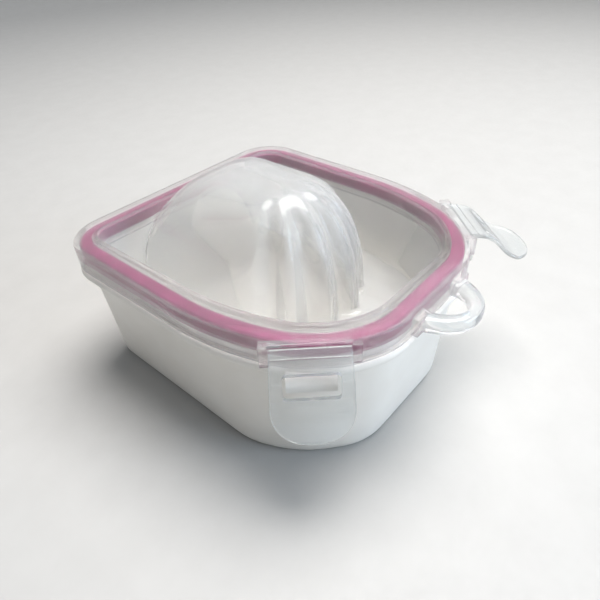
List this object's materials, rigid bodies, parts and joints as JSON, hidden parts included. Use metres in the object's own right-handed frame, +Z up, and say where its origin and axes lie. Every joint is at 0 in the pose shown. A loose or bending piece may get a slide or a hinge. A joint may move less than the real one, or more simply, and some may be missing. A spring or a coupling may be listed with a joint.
{
  "type": "two-layer manicure soaking bowl",
  "caption": "White basin closed by a clear tray with a raised palm rest and finger ridges, a soft sealing ring, a loop handle and two snap latches.",
  "frame": {"origin": "middle of the basin's flat underside, where it rests on a table", "axes": "+Z up; +Y towards the finger side, where the loop handle is; -Y is the wrist side; +X towards the front latch"},
  "size_m": [0.1422, 0.162, 0.0865],
  "materials": {
    "white_plastic": "satin moulded white plastic",
    "clear_plastic": "slightly milky clear plastic, polished",
    "pink_silicone": "soft matt pink silicone"
  },
  "bodies": {
    "basin": {"basin": "white_plastic"},
    "tray": {"tray": "clear_plastic", "sealing_ring": "pink_silicone"},
    "front_latch": {"front_latch": "clear_plastic"},
    "rear_latch": {"rear_latch": "clear_plastic"}
  },
  "joints": [
    {"name": "tray_lift", "type": "slide", "parent": "basin", "child": "tray", "axis": [0, 0, 1], "range_m": [0, 0.09]},
    {"name": "front_latch_hinge", "type": "hinge", "parent": "tray", "child": "front_latch", "pos_m": [0.0498, 0.05589, 0.0655], "axis": [0.6782, -0.7349, 0], "range_deg": [-8, 92]},
    {"name": "rear_latch_hinge", "type": "hinge", "parent": "tray", "child": "rear_latch", "pos_m": [-0.0498, 0.05589, 0.0655], "axis": [0.6782, 0.7349, 0], "range_deg": [-49, 51]}
  ]
}
